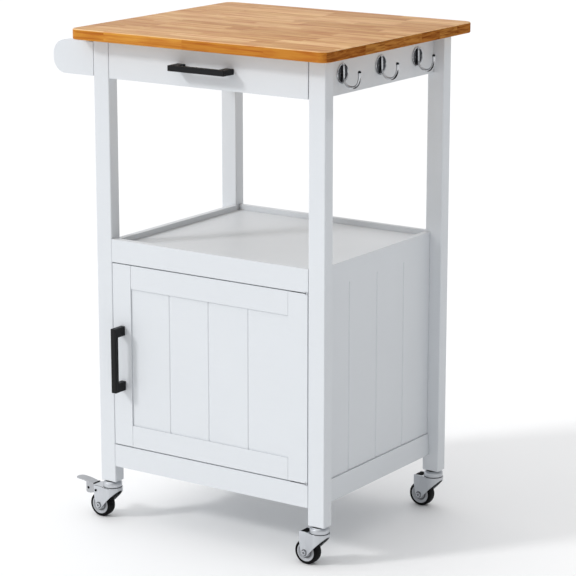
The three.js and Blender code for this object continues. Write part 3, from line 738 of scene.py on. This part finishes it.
def painted_shadow_line(corner):
    """A thin black strip on both sides that paints the shadow line between a braked fork's top plate and
    its cheeks.
    """
    foot = foot_of(corner)
    back, bend, half, crown_r = -34.6, -21.0, 12.9, 18.4
    section = ((0.0, 59.7), (0.25, 59.8), (0.25, 60.5), (0.0, 60.6))
    sides = len(section)
    for side in (-1, 1):
        path = [(back, half), (bend, half)]
        path += [(crown_r * math.cos(turn), crown_r * math.sin(turn)) for turn in (1.85, 1.6, 1.35)]
        verts, faces = [], []
        for x, y in path:
            for out, z in section:
                verts.append(foot + Vector((x, side * (y + out), z)) * MM)
        for i in range(len(path) - 1):
            for k in range(sides):
                a, b = sides * i + k, sides * i + (k + 1) % sides
                faces.append((a, b, b + sides, a + sides))
        faces += [tuple(range(sides)), tuple(range(len(verts) - sides, len(verts)))]
        mesh = mesh_from(corner, verts, faces)
        name = f"seam_{corner}_{side + 2}"
        finish_piece(name, mesh, "catch_plastic", f"fork_{corner}", material="dark_part")


for corner_name in CORNERS:
    caster(corner_name)
    axle_rings(corner_name)
    painted_shade_insert(corner_name)
    if corner_name.endswith("left"):
        pedal_details(corner_name)
        painted_shadow_line(corner_name)


# ---- floor, light and camera --------------------------------------------------------------------
def floor():
    """A plain pale floor."""
    mesh = bpy.data.meshes.new("floor")
    reach = 14.0
    mesh.from_pydata(
        [(-reach, -reach, 0), (reach, -reach, 0), (reach, reach, 0), (-reach, reach, 0)],
        [],
        [(0, 1, 2, 3)],
    )
    tree = Tree("floor")
    cloud = tree.noise(tree.place(), 1.5, 2.0)
    tree.set(
        Base_Color=tree.mix(tree.between(cloud, 0.0, 1.0), (0.93, 0.93, 0.93), (0.92, 0.92, 0.92)),
        Roughness=tree.between(cloud, 0.55, 0.62),
        Specular_IOR_Level=0.2,
    )
    mesh.materials.append(tree.material)
    obj = bpy.data.objects.new("floor", mesh)
    bpy.context.scene.collection.objects.link(obj)


def sun(name, towards, strength, angle):
    """A broad distant light that stands in the given direction from the cart."""
    light = bpy.data.lights.new(name, "SUN")
    light.energy = strength
    light.angle = math.radians(angle)
    obj = bpy.data.objects.new(name, light)
    obj.rotation_mode = "QUATERNION"
    obj.rotation_quaternion = Vector(towards).to_track_quat("Z", "Y")
    bpy.context.scene.collection.objects.link(obj)


def studio(bright, dim, lit_from):
    """The room's light: bright on the side that it is lit from, and dimmer on the other."""
    world = bpy.data.worlds.new("studio")
    bpy.context.scene.world = world
    world.use_nodes = True
    nodes, links = world.node_tree.nodes, world.node_tree.links
    place = nodes.new("ShaderNodeTexCoord")
    along = nodes.new("ShaderNodeVectorMath")
    along.operation = "DOT_PRODUCT"
    along.inputs[1].default_value = Vector(lit_from).normalized()
    spread = nodes.new("ShaderNodeMapRange")
    spread.inputs["From Min"].default_value = -0.6
    spread.inputs["From Max"].default_value = 0.9
    spread.inputs["To Min"].default_value = dim
    spread.inputs["To Max"].default_value = bright
    links.new(place.outputs["Generated"], along.inputs[0])
    links.new(along.outputs["Value"], spread.inputs["Value"])
    links.new(spread.outputs[0], nodes["Background"].inputs["Strength"])
    nodes["Background"].inputs["Color"].default_value = (0.985, 0.99, 1.0, 1.0)


def mirror_card(name, brightness, corners):
    """A card that only mirrors see, to give the hooks' bright metal a plain dark or light side."""
    mesh = bpy.data.meshes.new(name)
    mesh.from_pydata(corners, [], [tuple(range(len(corners)))])
    tree = Tree(name)
    cloud = tree.noise(tree.place(), 4.0)
    grey = (brightness, brightness, brightness)
    tree.set(Base_Color=tree.mix(cloud, grey, shade(grey, 0.9)), Roughness=0.9)
    mesh.materials.append(tree.material)
    obj = bpy.data.objects.new(name, mesh)
    obj.visible_camera = False
    obj.visible_diffuse = False
    obj.visible_shadow = False
    obj.visible_transmission = False
    bpy.context.scene.collection.objects.link(obj)


floor()
mirror_card(
    "card_high",
    brightness=0.9,
    corners=[
        (0.262, -0.178, 0.893),
        (0.262, 0.178, 0.893),
        (0.304, 0.178, 0.893),
        (0.304, -0.178, 0.893),
    ],
)
mirror_card(
    "card_low",
    brightness=0.01,
    corners=[(0.262, -0.17, 0.79), (0.55, -0.17, 0.77), (0.55, 0.17, 0.77), (0.262, 0.17, 0.79)],
)
sun("key", (-0.57, -0.75, 0.61), strength=1.15, angle=9)
studio(bright=1.18, dim=0.14, lit_from=(-0.5, -0.02, 0.87))

camera = bpy.data.cameras.new("camera")
camera.sensor_width = 36
camera.lens = 149.29
camera.clip_end = 100
camera_object = bpy.data.objects.new("camera", camera)
camera_object.location = (2.4471, -3.4988, 1.4590)
camera_object.rotation_euler = (math.radians(76.408), 0, math.radians(34.257))
bpy.context.scene.collection.objects.link(camera_object)
bpy.context.scene.camera = camera_object
bpy.context.scene.view_settings.view_transform = "Standard"
